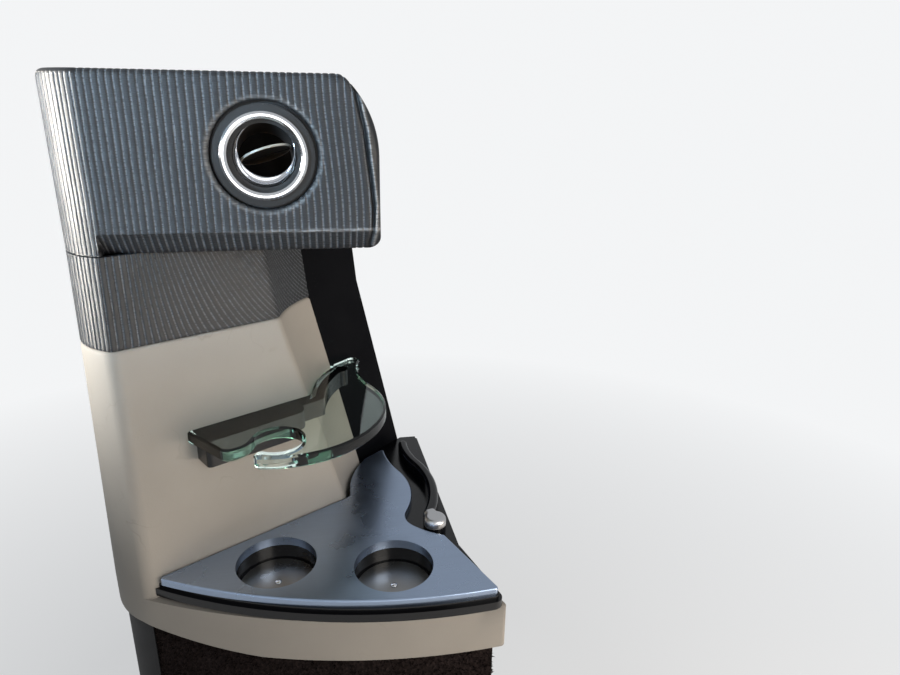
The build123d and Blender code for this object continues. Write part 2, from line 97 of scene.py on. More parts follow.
def useGroup(tree, group, vector, **values):  # places a shader group, with the values of this use
    inputs = {label.replace("_", " "): value for label, value in values.items()}
    return addNode(tree, "ShaderNodeGroup", {"Vector": vector, **inputs}, node_tree=group).outputs


def newGroup(name, kind, inputs, outputs):
    tree = bpy.data.node_groups.new(name, kind)
    for label, socket, value in inputs:
        made = tree.interface.new_socket(label, in_out="INPUT", socket_type="NodeSocket" + socket)
        if value is not None:
            made.default_value = value
    for label, socket in outputs:
        tree.interface.new_socket(label, in_out="OUTPUT", socket_type="NodeSocket" + socket)
    start = tree.nodes.new("NodeGroupInput").outputs
    end = tree.nodes.new("NodeGroupOutput").inputs
    return tree, start, end


def spread(tree, low, high, value, toLow=0.0, toHigh=1.0):
    made = addNode(tree, "ShaderNodeMapRange", {"Value": value, "From Min": low, "From Max": high,
                                                "To Min": toLow, "To Max": toHigh})
    return made.outputs[0]


def blendColours(tree, share, *colours):
    first, second = (c if isinstance(c, bpy.types.NodeSocket) else (*c, 1.0) for c in colours)
    return addNode(tree, "ShaderNodeMix", {0: share, 6: first, 7: second}, data_type="RGBA").outputs[2]


# Shader groups


def grainGroup():
    tree, start, end = newGroup(
        "leatherGrain", "ShaderNodeTree",
        (("Vector", "Vector", None), ("Pebble Size", "Float", 0.0012), ("Wrinkle Size", "Float", 0.02),
         ("Wrinkle Depth", "Float", 0.5)),
        (("Height", "Float"), ("Wrinkle", "Float"), ("Tone", "Float")))
    spot = start["Vector"]
    scale = calc(tree, "DIVIDE", 1.0, start["Pebble Size"])
    pebble = addNode(tree, "ShaderNodeTexVoronoi", {"Vector": spot, "Scale": scale}, feature="SMOOTH_F1")
    fine = noise(tree, spot, scale, 3.0)
    coarse = calc(tree, "DIVIDE", 1.0, start["Wrinkle Size"])
    bent = noise(tree, spot, coarse, 3.0, {"Distortion": 0.5})
    line = spread(tree, 0.0, 0.012, calc(tree, "ABSOLUTE", calc(tree, "SUBTRACT", bent, 0.5)), 1.0, 0.0)
    where = noise(tree, spot, times(tree, coarse, 0.7), 1.0)
    wrinkle = times(tree, line, spread(tree, 0.55, 0.72, where))
    height = calc(tree, "ADD", times(tree, pebble.outputs["Distance"], 0.6), times(tree, fine, 0.5))
    height = calc(tree, "SUBTRACT", height, times(tree, wrinkle, start["Wrinkle Depth"]))
    feed(tree, end, Height=height, Wrinkle=wrinkle, Tone=noise(tree, spot, 9.0, 4.0))
    return tree


def dustGroup():
    tree, start, end = newGroup(
        "dustSpecks", "ShaderNodeTree",
        (("Vector", "Vector", None), ("Speck Size", "Float", 0.0015), ("Amount", "Float", 0.3)),
        (("Specks", "Float"), ("Smear", "Float")))
    scale = calc(tree, "DIVIDE", 0.4, start["Speck Size"])
    specks = addNode(tree, "ShaderNodeTexVoronoi", {"Vector": start["Vector"], "Scale": scale})
    smear = noise(tree, start["Vector"], 22.0, 3.0)
    near = spread(tree, 0.05, 0.16, specks.outputs["Distance"], 1.0, 0.0)
    patch = spread(tree, 0.48, 0.7, smear)
    feed(tree, end, Specks=times(tree, near, patch, start["Amount"]), Smear=smear)
    return tree


leatherGrain = grainGroup()
dustSpecks = dustGroup()


def material(name, **sockets):
    made = bpy.data.materials.new(name)
    made.use_nodes = True
    tree = made.node_tree
    shader = tree.nodes["Principled BSDF"]
    for label, value in sockets.items():
        key = label.replace("_", " ")
        shader.inputs[key].default_value = (*value, 1.0) if isinstance(value, tuple) else value
    coords = tree.nodes.new("ShaderNodeTexCoord")
    return made, tree, shader, coords.outputs["Object"]


def bump(tree, shader, height, distance, strength=1.0):
    made = addNode(tree, "ShaderNodeBump", {"Height": height, "Distance": distance, "Strength": strength})
    tree.links.new(made.outputs[0], shader.inputs["Normal"])


# the pale colours here are painted highlights: "line" in the grooves and faintly on the cross lines, and the
# palest one on the piping, the crease and the outlet's lip
ribLook = {
    "dark": (0.003, 0.0037, 0.005), "pale": (0.007, 0.0082, 0.010), "line": (0.135, 0.142, 0.155),
    "paintedGlint": (0.30, 0.30, 0.30), "grooveGlintStart": 0.60, "grooveGlintEnd": 0.86, "grooveGlintShare": 0.85, "ladder": 0.0011,
}


def ribbedLeather():
    made, tree, shader, coords = material("ribbedLeather", Specular_IOR_Level=0.5)
    across = addNode(tree, "ShaderNodeMapping", {"Vector": coords, "Scale": (0.3, 0.3, 2.4)})
    grain = useGroup(tree, leatherGrain, across.outputs[0], Pebble_Size=0.0026, Wrinkle_Size=0.03,
                     Wrinkle_Depth=0.4)
    # painted highlight: a pale line is painted in each groove, where light catches its flank, and the fine
    # cross lines on the strips between are painted faintly in the same colour
    turn, amount, paintedGlint = (addNode(tree, "ShaderNodeAttribute", attribute_name=label).outputs["Fac"]
                          for label in ("turn", "amount", "paintedGlint"))
    groove = spread(tree, ribLook["grooveGlintStart"], ribLook["grooveGlintEnd"], sawTooth(tree, turn))
    groove = times(tree, groove, amount)
    dotted = spread(tree, 0.36, 0.6, grain["Height"], 0.35, 1.0)
    line = times(tree, groove, ribLook["grooveGlintShare"], dotted)
    # a wave texture repeats every 0.314 / Scale
    ladder = addNode(tree, "ShaderNodeTexWave",
                     {"Vector": coords, "Scale": 0.314 / ribLook["ladder"], "Distortion": 2.5,
                      "Detail": 1.0, "Detail Scale": 1.5}, bands_direction="Z").outputs["Fac"]
    fine = times(tree, ladder, times(tree, calc(tree, "SUBTRACT", 1.0, groove), amount))
    colour = blendColours(tree, grain["Tone"], ribLook["dark"], ribLook["pale"])
    colour = blendColours(tree, times(tree, fine, 0.12), colour, ribLook["line"])
    colour = blendColours(tree, line, colour, ribLook["line"])
    # painted highlight along the piping, the crease and the outlet's lip, broken up by the grain
    glintShare = times(tree, paintedGlint, spread(tree, 0.3, 0.62, grain["Height"], 0.2, 1.0))
    colour = blendColours(tree, glintShare, colour, ribLook["paintedGlint"])
    feed(tree, shader.inputs, Base_Color=colour, Roughness=spread(tree, 0.3, 0.7, grain["Tone"], 0.38, 0.48))
    height = calc(tree, "SUBTRACT", times(tree, grain["Height"], 0.4), groove)
    bump(tree, shader, calc(tree, "ADD", height, times(tree, fine, 0.25)), 0.0005, 0.9)
    return made


def greyLeather():
    made, tree, shader, coords = material("greyLeather", Roughness=0.6, Specular_IOR_Level=0.2,
                                          Sheen_Weight=0.05, Sheen_Roughness=0.5)
    grain = useGroup(tree, leatherGrain, coords, Pebble_Size=0.0011, Wrinkle_Size=0.06, Wrinkle_Depth=1.2)
    tone = spread(tree, 0.3, 0.7, grain["Tone"])
    colour = blendColours(tree, tone, (0.285, 0.262, 0.232), (0.325, 0.300, 0.266))
    # painted shade: the wrinkles are painted darker, as shade in their creases
    colour = blendColours(tree, times(tree, grain["Wrinkle"], 0.35), colour, (0.20, 0.18, 0.155))
    feed(tree, shader.inputs, Base_Color=colour)
    bump(tree, shader, grain["Height"], 0.00022, 0.5)
    return made


def brushedMetal(name, colour, rough, direction):
    made, tree, shader, coords = material(name, Metallic=1.0, Roughness=rough)
    aim, scale = (0, 0, math.radians(direction)), (6.0, 450.0, 450.0)
    turned = addNode(tree, "ShaderNodeMapping", {"Vector": coords, "Rotation": aim, "Scale": scale})
    lines = noise(tree, turned.outputs[0], 1.0, 2.0)
    dust = useGroup(tree, dustSpecks, coords, Amount=0.12, Speck_Size=0.0009)
    light = tuple(min(1.0, c * 1.12) for c in colour)
    shade = blendColours(tree, lines, colour, light)
    shade = blendColours(tree, dust["Specks"], shade, (0.55, 0.53, 0.5))
    smear = spread(tree, 0.35, 0.7, dust["Smear"], rough - 0.05, rough + 0.09)
    feed(tree, shader.inputs, Base_Color=shade, Roughness=smear)
    bump(tree, shader, lines, 0.00004, 0.6)
    return made


def plastic(name, colour, rough, grainSize=0.0, specular=0.5, specks=0.35):
    made, tree, shader, coords = material(name, Base_Color=colour, Roughness=rough,
                                          Specular_IOR_Level=specular)
    dust = useGroup(tree, dustSpecks, coords, Amount=specks)
    shade = blendColours(tree, dust["Specks"], colour, (0.2, 0.19, 0.18))
    smear = spread(tree, 0.35, 0.75, dust["Smear"], rough, rough + 0.12)
    feed(tree, shader.inputs, Base_Color=shade, Roughness=smear)
    if grainSize:
        bump(tree, shader, noise(tree, coords, 1.0 / grainSize, 3.0), grainSize * 0.25, 0.8)
    return made


def shelfGlass():
    made, tree, shader, coords = material("shelfGlass", Base_Color=(0.96, 1.0, 0.985), IOR=1.5,
                                          Transmission_Weight=1.0)
    dust = useGroup(tree, dustSpecks, coords)
    feed(tree, shader.inputs, Roughness=spread(tree, 0.45, 0.8, dust["Smear"], 0.0, 0.04))
    tint = addNode(tree, "ShaderNodeVolumeAbsorption", {"Color": (0.35, 0.88, 0.74, 1.0), "Density": 13.0})
    feed(tree, tree.nodes["Material Output"].inputs, Volume=tint.outputs[0])
    return made


chromeColour = (0.86, 0.87, 0.89)


def chrome():
    made, tree, shader, coords = material("chrome", Base_Color=chromeColour, Metallic=1.0, Roughness=0.08)
    dust = useGroup(tree, dustSpecks, coords)
    feed(tree, shader.inputs, Roughness=spread(tree, 0.4, 0.8, dust["Smear"], 0.06, 0.16))
    return made


outlet = {
    "middle": (-0.0103, -0.0425, 0.7927), "aim": (0.0943, -0.9397, 0.3288), "bore": 0.0213, "flapRim": 0.0192,
}


def apart(tree, coords, along=None):  # distance from the ball's middle, or from the line along its bore
    arm = calcVector(tree, "SUBTRACT", {0: coords, 1: outlet["middle"]})
    if along:
        arm = calcVector(tree, "CROSS_PRODUCT", {0: arm, 1: along})
    return calcVector(tree, "LENGTH", {0: arm}, "Value")


def barrelFinish():
    made, tree, shader, coords = material("barrelFinish", Roughness=0.08)
    outside = spread(tree, outlet["bore"], outlet["bore"] + 0.0002, apart(tree, coords, outlet["aim"]))
    dust = useGroup(tree, dustSpecks, coords)
    shine = spread(tree, 0.4, 0.8, dust["Smear"], 0.06, 0.16)
    shine = calc(tree, "MAXIMUM", shine, spread(tree, 0.0, 1.0, outside, 0.6, 0.0))
    colour = blendColours(tree, outside, (0.004, 0.004, 0.004), chromeColour)
    feed(tree, shader.inputs, Base_Color=colour, Metallic=outside, Roughness=shine)
    return made


def flapFinish():
    made, tree, shader, coords = material("flapFinish", Specular_IOR_Level=0.4)
    # painted highlight: a pale band is painted round the flap's edge, where its rim catches the light
    rim = spread(tree, outlet["flapRim"], outlet["flapRim"] + 0.0006, apart(tree, coords))
    dust = useGroup(tree, dustSpecks, coords)
    colour = blendColours(tree, rim, (0.008, 0.008, 0.008), (0.36, 0.35, 0.31))
    colour = blendColours(tree, dust["Specks"], colour, (0.12, 0.11, 0.1))
    feed(tree, shader.inputs, Base_Color=colour, Roughness=spread(tree, 0.4, 0.8, dust["Smear"], 0.3, 0.45))
    return made


knob = {"middle": (262.0, 41.0, 6.0), "reach": 0.0132}


def railFinish():  # black, with a bare steel knob at its near end
    made, tree, shader, coords = material("railFinish", Roughness=0.16)
    away = calcVector(tree, "DISTANCE", {0: coords, 1: tuple(place(*knob["middle"]))}, "Value")
    bare = spread(tree, knob["reach"], knob["reach"] + 0.0006, away, 1.0, 0.0)
    dust = useGroup(tree, dustSpecks, coords)
    shine = spread(tree, 0.4, 0.8, dust["Smear"], 0.14, 0.26)
    shine = calc(tree, "ADD", shine, times(tree, bare, 0.16))
    colour = blendColours(tree, bare, (0.003, 0.003, 0.004), (0.62, 0.62, 0.63))
    feed(tree, shader.inputs, Base_Color=colour, Metallic=bare, Roughness=shine)
    return made


def woodBoard(name, dark, light):
    made, tree, shader, coords = material(name, Roughness=0.75)
    along = addNode(tree, "ShaderNodeMapping", {"Vector": coords, "Scale": (6.0, 90.0, 90.0)})
    lines = noise(tree, along.outputs[0], 1.0, 5.0)
    feed(tree, shader.inputs, Base_Color=blendColours(tree, lines, dark, light))
    bump(tree, shader, lines, 0.0002, 0.5)
    return made


def carpet():
    made, tree, shader, coords = material("carpet", Roughness=0.95, Specular_IOR_Level=0.05)
    tufts = addNode(tree, "ShaderNodeTexVoronoi", {"Vector": coords, "Scale": 330.0}).outputs
    patch = times(tree, noise(tree, coords, 30.0, 4.0), 0.5)
    colour = blendColours(tree, tufts["Color"], (0.006, 0.0042, 0.0042), (0.024, 0.0175, 0.017))
    colour = blendColours(tree, patch, colour, (0.014, 0.0095, 0.008))
    feed(tree, shader.inputs, Base_Color=colour)
    bump(tree, shader, tufts["Distance"], 0.0012, 1.0)
    return made


def blackCloth():
    made, tree, shader, coords = material("blackCloth", Roughness=0.95, Specular_IOR_Level=0.1)
    weave = noise(tree, coords, 900.0, 4.0)
    colour = blendColours(tree, weave, (0.003, 0.003, 0.003), (0.010, 0.010, 0.011))
    feed(tree, shader.inputs, Base_Color=colour)
    bump(tree, shader, weave, 0.0002, 0.8)
    return made


ribbed = ribbedLeather()
grey = greyLeather()
# the tray's blue tint is a painted reflection of a blue sky on brushed steel
trayMetal = brushedMetal("trayMetal", (0.37, 0.455, 0.60), 0.3, 8.0)
discMetal = brushedMetal("discMetal", (0.34, 0.33, 0.32), 0.3, 30.0)
blackGloss = plastic("blackGloss", (0.003, 0.003, 0.004), 0.14, specks=0.15)
ventSatin = plastic("ventSatin", (0.005, 0.005, 0.0055), 0.35, grainSize=0.0006, specks=0.2)
trimPlastic = plastic("trimPlastic", (0.005, 0.005, 0.0065), 0.5, grainSize=0.0012, specular=0.3)
# painted shade: the back panel is painted a near-black matte, standing for the shaded gap between the console
# and the seat
paintedShadePanel = plastic("paintedShadePanel", (0.0015, 0.0018, 0.003), 0.7, grainSize=0.0008, specular=0.08, specks=0.1)
railSteel = plastic("railSteel", (0.03, 0.03, 0.03), 0.4, grainSize=0.002)
railBlack = railFinish()
glassMaterial = shelfGlass()
chromeMaterial = chrome()
board = woodBoard("plyBoard", (0.22, 0.14, 0.08), (0.40, 0.28, 0.17))
barrelChrome = barrelFinish()
flapBlack = flapFinish()
carpetMaterial = carpet()
clothBlack = blackCloth()

dressed = {
    "head_box": ribbed, "wall_upper": ribbed, "wall_lower": grey, "fascia": grey, "tray_plate": trayMetal,
    "tray_base": blackGloss, "side_rail": railBlack, "shelf_bracket": blackGloss, "back_panel": paintedShadePanel,
    "glass_shelf": glassMaterial, "cup_disc_left": discMetal, "cup_disc_right": discMetal,
    "plinth": carpetMaterial, "deck_board": board, "floor_board": board, "kick_trim": trimPlastic,
    "vent_ring": chromeMaterial, "vent_barrel": barrelChrome, "vent_socket": ventSatin,
    "vent_swivel": ventSatin, "vent_flap": flapBlack, "fixing_rail": railSteel,
}
for name, finish in dressed.items():
    mesh = nodes[name].data
    mesh.materials.clear()
    mesh.materials.append(finish)
print("materials on", len(dressed), "CAD nodes")

# Leather covers

post = {
    "rises": (-22.0, 0.0, 220.5, 297.0, 433.0),  # millimetres above the tray, as all plan numbers here
    "edge": ((-10.0, -4.0), (-10.0, -4.0), (-10.0, -2.5), (-9.0, 0.0), (-9.0, 0.0)),
    "column": ((-35.0, 15.0), (-34.0, 14.0), (-30.0, 12.0), (-29.0, 13.0), (-29.0, 13.0)),
    "end": ((-54.0, 52.0), (-53.0, 50.0), (-46.0, 45.0), (-44.5, 44.0), (-44.5, 44.0)),
    "first": (207.0, 201.0, 138.1, 127.0, 127.0), "bearing": (75.6, 75.0, 68.4, 66.5, 66.5),
    "second": (79.0, 78.4, 72.0, 71.0, 71.0), "hollow": (6.5, 6.5, 5.0, 4.0, 4.0),
    "wallAngle": 31.0, "backAngle": 41.0, "heel": 20.0, "edgeRound": 14.0, "turnRound": 10.0,
    "sideBack": (-60.0, 112.0),
}


def circleThrough(a, b, c):
    a, b, c = (np.array(p, float) for p in (a, b, c))
    d = 2 * (a[0] * (b[1] - c[1]) + b[0] * (c[1] - a[1]) + c[0] * (a[1] - b[1]))
    centre = ((a @ a) * np.array((b[1] - c[1], c[0] - b[0])) + (b @ b) * np.array((c[1] - a[1], a[0] - c[0]))
              + (c @ c) * np.array((a[1] - b[1], b[0] - a[0]))) / d
    return centre, np.linalg.norm(a - centre)


def arcPoints(centre, start, end, count):
    first, last = (math.atan2(*(np.array(p) - centre)[::-1]) for p in (start, end))
    sweep = (last - first + math.pi) % (2 * math.pi) - math.pi
    radius = np.linalg.norm(np.array(start) - centre)
    angles = first + sweep * np.linspace(0, 1, count, endpoint=False)
    return centre + radius * np.column_stack((np.cos(angles), np.sin(angles))), abs(sweep) * radius


def tangentCentre(corner, along, radius, centre, reach):  # rounding that touches a line and a circle
    base = corner + radius * np.array((-along[1], along[0])) - centre
    half = base @ along
    root = math.sqrt(half * half - base @ base + reach * reach)
    return centre + base + along * min(-half + root, -half - root, key=abs)


def polar(angle):
    return np.array((math.cos(math.radians(angle)), math.sin(math.radians(angle))))


def postLevel(i, counts, corner):  # outline at one level: points, and their distance along the leather
    edge, end = (np.array(post[k][i]) for k in ("edge", "end"))
    turn = polar(post["wallAngle"]) * post["first"][i]
    far = turn + polar(post["bearing"][i]) * post["second"][i]
    middle = (turn + far) / 2 + polar(post["bearing"][i] + 90) * post["hollow"][i]
    heel = far + polar(post["backAngle"] + 90) * post["heel"]
    sideBack = np.array(post["sideBack"])
    round1, round2 = corner, post["turnRound"]
    hub, reach = circleThrough(end, post["column"][i], edge)
    hub2, reach2 = circleThrough(turn, middle, far)
    along = (turn - edge) / np.linalg.norm(turn - edge)
    c1 = tangentCentre(edge, along, round1, hub, reach - round1)
    c2 = tangentCentre(turn, along, round2, hub2, reach2 + round2)
    tan1 = hub + (c1 - hub) * reach / (reach - round1)
    tan2 = edge + along * ((c1 - edge) @ along)
    tan3 = edge + along * ((c2 - edge) @ along)
    tan4 = hub2 + (c2 - hub2) * reach2 / (reach2 + round2)
    pieces = []

    def run(points, low, high):
        pieces.append((points, np.linspace(low, high, len(points), endpoint=False)))

    def line(a, b, count):
        return a + (b - a) * np.linspace(0, 1, count, endpoint=False)[:, None]

    column, length = arcPoints(hub, end, tan1, counts[1])
    cut = arcPoints(hub, tan1, edge, 2)[1]
    beside = np.linalg.norm(sideBack - end)
    run(line(sideBack, end, counts[0]), -length - cut - beside, -length - cut)
    run(column, -length - cut, -cut)
    after = np.linalg.norm(tan2 - edge)
    run(arcPoints(c1, tan1, tan2, counts[2])[0], -cut, after)
    before, whole = np.linalg.norm(tan3 - edge), np.linalg.norm(turn - edge)
    run(line(tan2, tan3, counts[3]), after, before)
    skip = arcPoints(hub2, turn, tan4, 2)[1]
    run(arcPoints(c2, tan3, tan4, counts[4])[0], before, whole + skip)
    dish, length = arcPoints(hub2, tan4, far, counts[5])
    run(dish, whole + skip, whole + skip + length)
    run(line(far, heel, counts[6]), whole + skip + length, whole + skip + length + post["heel"])
    run(line(heel, sideBack, counts[7]), 400, 600)
    return np.concatenate([p for p, d in pieces]), np.concatenate([d for p, d in pieces])


def smooth(x):
    x = np.clip(x, 0, 1)
    return x * x * (3 - 2 * x)


def normals2(points):  # outward normals of a closed outline that runs with its inside on the left
    step = np.roll(points, -1, 0) - np.roll(points, 1, 0)
    step /= np.linalg.norm(step, axis=1)[:, None]
    return np.column_stack((step[:, 1], -step[:, 0]))


def newMesh(name, points, faces, *finishes):
    mesh = bpy.data.meshes.new(name)
    mesh.from_pydata(np.asarray(points).tolist(), [], faces)
    for finish in finishes:
        mesh.materials.append(finish)
    return mesh


def gridMesh(name, rings):  # closed tube from rings of points, up its outside and down its inside
    at = np.arange(len(rings) * len(rings[0])).reshape(len(rings), -1)
    after = np.roll(at, -1, 1)
    faces = np.stack((at, after, np.roll(after, -1, 0), np.roll(at, -1, 0)), -1)
    return newMesh(name, np.concatenate(rings), faces.reshape(-1, 4).tolist())


def setAttribute(mesh, name, kind, domain, values):
    key = "vector" if kind == "FLOAT_VECTOR" else "value"
    mesh.attributes.new(name, kind, domain).data.foreach_set(key, values.ravel())


def newObject(name, data):
    made = bpy.data.objects.new(name, data)
    scene.collection.objects.link(made)
    return made


def newPiece(name, mesh, body, slot, *replaced):
    made = newObject(name, mesh)
    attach(made, body)
    if replaced:
        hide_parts(*replaced)
    return made


postSkin = {
    "upperRows": 3.0, "lowerRows": 6.0, "thickness": 6.0, "seamRound": 1.6, "rollRound": 3.2,
    "ribsEnd": 222.0, "low": 220.5, "slantStart": 22.0, "slant": 0.33, "slantBend": 0.75,
    "slantTop": 292.0, "blackEdge": 4.0, "upperCounts": (80, 100, 16, 220, 14, 110, 14, 50),
    "lowerCounts": (18, 24, 16, 50, 8, 24, 6, 30),
}


def postAt(rise, levels):  # straight between the levels, as the CAD's ruled faces are
    for i in range(len(post["rises"]) - 1):
        if rise <= post["rises"][i + 1]:
            break
    low, high = post["rises"][i], post["rises"][i + 1]
    share = (rise - low) / (high - low)
    return levels[i][0] * (1 - share) + levels[i + 1][0] * share


def slanted(distance, rise):  # the niche wall's ribs fan out: a rib's place at the joint, seen from higher up
    s = postSkin
    lift = np.clip((rise - s["low"]) / (s["slantTop"] - s["low"]), 0, 1.05) ** s["slantBend"]
    opened = (distance - s["slant"] * s["slantStart"] * lift) / (1 - s["slant"] * lift)
    return np.where(distance > s["slantStart"], opened, distance)


def postCover(name, low, high, step, counts, corner, lowRound, highRound):
    levels = [postLevel(i, counts, corner) for i in range(len(post["rises"]))]
    rises = list(np.linspace(low + lowRound, high - highRound, max(3, int((high - low) / step))))
    turns = np.linspace(0, math.pi / 2, 5)[1:]
    outer = [(r, 0.0) for r in rises]
    if highRound:
        outer += [(high - highRound * (1 - math.sin(a)), highRound * (1 - math.cos(a))) for a in turns]
    if lowRound:
        outer = [(low + lowRound * (1 - math.sin(a)), lowRound * (1 - math.cos(a)))
                 for a in turns[::-1]] + outer
    inner = [(outer[-1][0], postSkin["thickness"]), (outer[0][0], postSkin["thickness"])]
    rings, phases, shows, skins = [], [], [], []
    for rise, inset in outer + inner:
        plan = postAt(rise, levels)
        outward = normals2(plan)
        plan = plan - outward * inset
        rings.append(np.array([place(x, y, rise) for x, y in plan]))
        phases.append(ribPlace(slanted(levels[2][1], rise), "niche"))
        shows.append(np.where((levels[2][1] < postSkin["ribsEnd"]) & (inset < 1.0), 1.0, 0.0))
        skins.append(np.column_stack((outward, np.zeros(len(plan)))))
    mesh = gridMesh(name, rings)
    setSkin(mesh, np.concatenate(phases), np.concatenate(shows), np.concatenate(skins))
    return mesh


# millimetres along the leather from the column's front edge, and the ribs counted up to there
ribPlaces = {
    "front": ((0.0, 10.2, 34.5, 61.0, 89.2, 119.2, 149.2, 177.2, 204.0, 220.0),
              (0.0, 2.2, 7.2, 12.2, 17.2, 22.2, 27.2, 32.2, 37.2, 40.2)),
    "niche": ((0.0, 19.8, 48.5, 77.8, 110.3, 139.4, 220.0, 600.0),
              (0.0, 3.6, 8.6, 13.6, 18.6, 23.4, 37.0, 100.0)),
    "column": ((-200.0, -60.0, -20.0, 0.0), (-36.6, -11.6, -4.4, 0.0)),
}
ribSizes = {"Pitch": 5.5, "Depth": 0.0007, "Sharpness": 4.0, "Wander": 1.2, "Wander Size": 0.06, "Seed": 3.0}


def ribPlace(distance, where):
    ahead, behind = (np.interp(distance, *ribPlaces[part]) for part in (where, "column"))
    return np.where(distance < 0, behind, ahead) * ribSizes["Pitch"]


def setSkin(mesh, phase, amount, skin):
    setAttribute(mesh, "phase", "FLOAT", "POINT", phase)
    setAttribute(mesh, "amount", "FLOAT", "POINT", amount)
    setAttribute(mesh, "skin", "FLOAT_VECTOR", "POINT", skin)


def stored(tree, label, kind="FLOAT"):
    return addNode(tree, "GeometryNodeInputNamedAttribute", {"Name": label}, data_type=kind).outputs[0]


def closeTree(tree, end, geometry, finish, chosen=True):  # one mesh of it all, with its material
    whole = addNode(tree, "GeometryNodeRealizeInstances", {0: geometry})
    inputs = {"Geometry": whole.outputs[0], "Selection": chosen, "Material": finish}
    feed(tree, end, Geometry=addNode(tree, "GeometryNodeSetMaterial", inputs).outputs[0])
    return tree


def ribTree():
    # sinks narrow grooves between the leather's ribs, at each whole number of the stored "turn"
    tree, start, end = newGroup(
        "leatherRibs", "GeometryNodeTree",
        (("Geometry", "Geometry", None), *((label, "Float", value) for label, value in ribSizes.items()),
         ("Leather", "Material", None)),
        (("Geometry", "Geometry"),))
    spot = tree.nodes.new("GeometryNodeInputPosition").outputs[0]
    flat = calcVector(tree, "MULTIPLY", {0: spot, 1: (0.35, 0.35, 1.0)})
    bend = noise(tree, flat, calc(tree, "DIVIDE", 1.0, start["Wander Size"]), 2.0, {"W": start["Seed"]},
                 noise_dimensions="4D")
    drift = times(tree, calc(tree, "SUBTRACT", bend, 0.5), times(tree, start["Wander"], 2.0))
    turn = calc(tree, "DIVIDE", calc(tree, "ADD", stored(tree, "phase"), drift), start["Pitch"])
    kept = addNode(tree, "GeometryNodeStoreNamedAttribute",
                   {"Geometry": start["Geometry"], "Name": "turn", "Value": turn},
                   data_type="FLOAT", domain="POINT")
    groove = calc(tree, "POWER", sawTooth(tree, turn), start["Sharpness"])
    groove = times(tree, groove, stored(tree, "amount"))
    sink = times(tree, groove, times(tree, start["Depth"], -1.0))
    offset = calcVector(tree, "SCALE", {0: stored(tree, "skin", "FLOAT_VECTOR"), "Scale": sink})
    moved = addNode(tree, "GeometryNodeSetPosition", {"Geometry": kept.outputs[0], "Offset": offset})
    inside = stored(tree, "inside", "BOOLEAN")
    outside = addNode(tree, "FunctionNodeBooleanMath", {0: inside}, operation="NOT").outputs[0]
    return closeTree(tree, end, moved.outputs[0], start["Leather"], outside)


def grow(piece, tree, values):  # runs a geometry tree on a piece and keeps the result as its plain mesh
    added = piece.modifiers.new(tree.name, "NODES")
    added.node_group = tree
    for item in tree.interface.items_tree:
        if item.in_out == "INPUT" and item.name in values:
            added[item.identifier] = values[item.name]
    view = bpy.context.evaluated_depsgraph_get()
    made = bpy.data.meshes.new_from_object(piece.evaluated_get(view))
    piece.modifiers.remove(added)
    made.name = piece.data.name
    piece.data = made


headSkin = {
    "ribStep": 0.7, "rowStep": 4.0, "topStep": 8.0, "sideStep": 0.7, "ventMiddle": (119.7, 372.7),
    "ventHole": 40.5, "lipReach": 5.5, "lipDepth": 2.6, "lipEnd": 41.5, "lipBack": 9.0,
    "nearVent": 52.0, "ventRows": 50, "ventStep": 1.3, "pleats": 46, "pleatDepth": 0.35,
    "creaseRise": 315.0, "creaseSoft": 1.6, "creaseTall": 0.9,
    "creaseRows": (-2.4, -1.6, -0.8, 0.0, 0.8, 1.6, 2.4),
    "boxRound": 20.0, "boxTop": 433.0, "boxUnder": 297.0, "boxRight": 208.0, "boxBack": 212.0,
    "seam": ((182.7, 433.0), (188.8, 427.0), (192.8, 408.3), (196.1, 392.4), (198.3, 370.6), (200.7, 350.0),
             (202.3, 333.0), (201.5, 315.0), (198.0, 297.0)),
    "seamDeep": 3.0, "seamWide": 1.3, "pipeTall": 1.5, "pipeWide": 1.2, "pipeAway": 3.2,
    "frontDepth": 12.0, "creaseGlintStart": 60.0, "creaseGlintReach": 110.0, "footTall": 6.0, "footReach": 3.0,
    "lean": 7.0, "leanStart": 90.0, "leanRise": 350.0,
}


def joinedCopy(name):  # a CAD node's loose triangles, joined
    bm = bmesh.new()
    bm.from_mesh(nodes[name].data)
    bmesh.ops.remove_doubles(bm, verts=bm.verts, dist=2e-5)
    return bm


def meshFrom(bm, name):
    mesh = bpy.data.meshes.new(name)
    bm.to_mesh(mesh)
    bm.free()
    return mesh


def sharpen(mesh, degrees=38):
    mesh.polygons.foreach_set("use_smooth", np.ones(len(mesh.polygons), bool))
    mesh.set_sharp_from_angle(angle=math.radians(degrees))


def columnLine():  # outline of the column and the left side at the box, with each point's rib distance
    h = headSkin
    counts = (60, 60, 20, 130, 12, 70, 20, 50)
    points, joint = postLevel(4, counts, post["edgeRound"])[0], postLevel(2, counts, post["edgeRound"])[1]
    hub, reach = circleThrough(post["end"][4], post["column"][4], post["edge"][4])
    edge = np.array(post["edge"][4])
    corner = tangentCentre(edge, np.array((1.0, 0.0)), h["boxRound"], hub, reach - h["boxRound"])
    touch = hub + (corner - hub) * reach / (reach - h["boxRound"])
    last = corner - (0, h["boxRound"])
    column = points[:120]
    column = column[np.linalg.norm(column - edge, axis=1) > np.linalg.norm(touch - edge)]
    line = np.concatenate((column, arcPoints(corner, touch, last, 14)[0], [last]))
    lengths = np.concatenate(([0], np.cumsum(np.linalg.norm(np.diff(line, axis=0), axis=1))))
    known = (0, lengths[60], lengths[-1])
    distances = np.interp(lengths, known, (joint[0], joint[60], last[0] - edge[0]))
    step = np.gradient(line, axis=0)
    step /= np.linalg.norm(step, axis=1)[:, None]
    return line, lengths, distances, step


